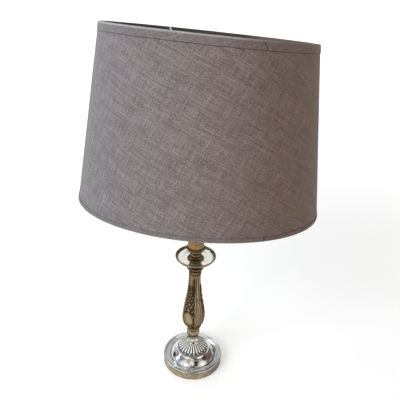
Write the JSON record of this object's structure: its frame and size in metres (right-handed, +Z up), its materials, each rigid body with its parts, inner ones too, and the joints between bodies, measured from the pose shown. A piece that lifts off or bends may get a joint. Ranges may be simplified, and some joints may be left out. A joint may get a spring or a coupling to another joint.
{
  "type": "table lamp",
  "caption": "Candlestick table lamp: round plated foot, panelled baluster, drip pan, brass lampholder and a tapered drum shade of grey linen on a tilting gimbal.",
  "frame": {"origin": "centre of the foot's underside, on the surface it stands on", "axes": "+Z up the candlestick; -Y towards the viewer of the picture, +Y towards the cord inlet at the back; +X to the right"},
  "size_m": [0.3707, 0.3795, 0.609],
  "materials": {
    "plate": "silver plate, polished, lightly tarnished",
    "plate_worn": "silver plate worn towards the brass beneath",
    "brass": "lacquered brass, satin",
    "nickel": "nickel-plated brass contact parts",
    "steel": "zinc-plated steel",
    "iron": "cast loading weight",
    "felt": "baize pad",
    "rubber": "black rubber",
    "bush": "black nylon",
    "insert": "white porcelain",
    "white_wire": "white coated wire",
    "linen": "grey-brown linen on a stiff backing",
    "tape": "self-fabric bias tape",
    "glass": "opal glass",
    "cap": "rolled screw cap",
    "contact": "black glass insulator with a solder tip"
  },
  "bodies": {
    "stand": {"foot_felt": "felt", "foot_shell": "plate", "foot_weight": "iron", "inlet_bush": "bush", "threaded_rod": "steel", "rod_washer": "steel", "rod_nuts": "steel", "gadroon_collar": "plate", "foot_knop": "plate_worn", "baluster": "plate_worn", "stem_collar": "plate_worn", "pan_neck": "plate_worn", "drip_pan": "plate", "cup_knob": "plate_worn", "candle_cup": "plate_worn", "cup_sleeve": "rubber", "brass_plug": "brass", "riser_tube": "brass", "holder_cap": "brass", "holder_sleeve": "brass", "holder_insert": "insert", "terminal_screws": "nickel", "thread_shell": "nickel", "centre_contact": "nickel", "shade_nut_low": "brass", "shade_nut_top": "brass"},
    "fitter": {"fitter_washer": "white_wire"},
    "shade": {"gimbal_ring": "white_wire", "fitter_arms": "white_wire", "lower_ring": "white_wire", "upper_ring": "white_wire", "shade_struts": "white_wire", "shade_fabric": "linen", "tape_top": "tape", "tape_low": "tape"},
    "bulb_carrier": {"bulb_contact": "contact"},
    "bulb": {"bulb_cap": "cap", "bulb_glass": "glass"}
  },
  "joints": [
    {"name": "shade_turn", "type": "hinge", "parent": "stand", "child": "fitter", "pos_m": [0, 0, 0.3541], "axis": [0, 0, 1], "continuous": true},
    {"name": "shade_tilt", "type": "hinge", "parent": "fitter", "child": "shade", "pos_m": [0, 0, 0.3541], "axis": [-0.9579, 0.2871, 0], "range_deg": [-21.35, 2.45]},
    {"name": "bulb_lift", "type": "slide", "parent": "stand", "child": "bulb_carrier", "axis": [0, 0, 1], "range_m": [0, 0.022]},
    {"name": "bulb_turn", "type": "hinge", "parent": "bulb_carrier", "child": "bulb", "pos_m": [0, 0, 0.37], "axis": [0, 0, 1], "range_deg": [0, 2186.4]}
  ],
  "couplings": [
    {"joint": "bulb_turn", "follows": "bulb_lift", "rad_per_m": 1731.4}
  ]
}
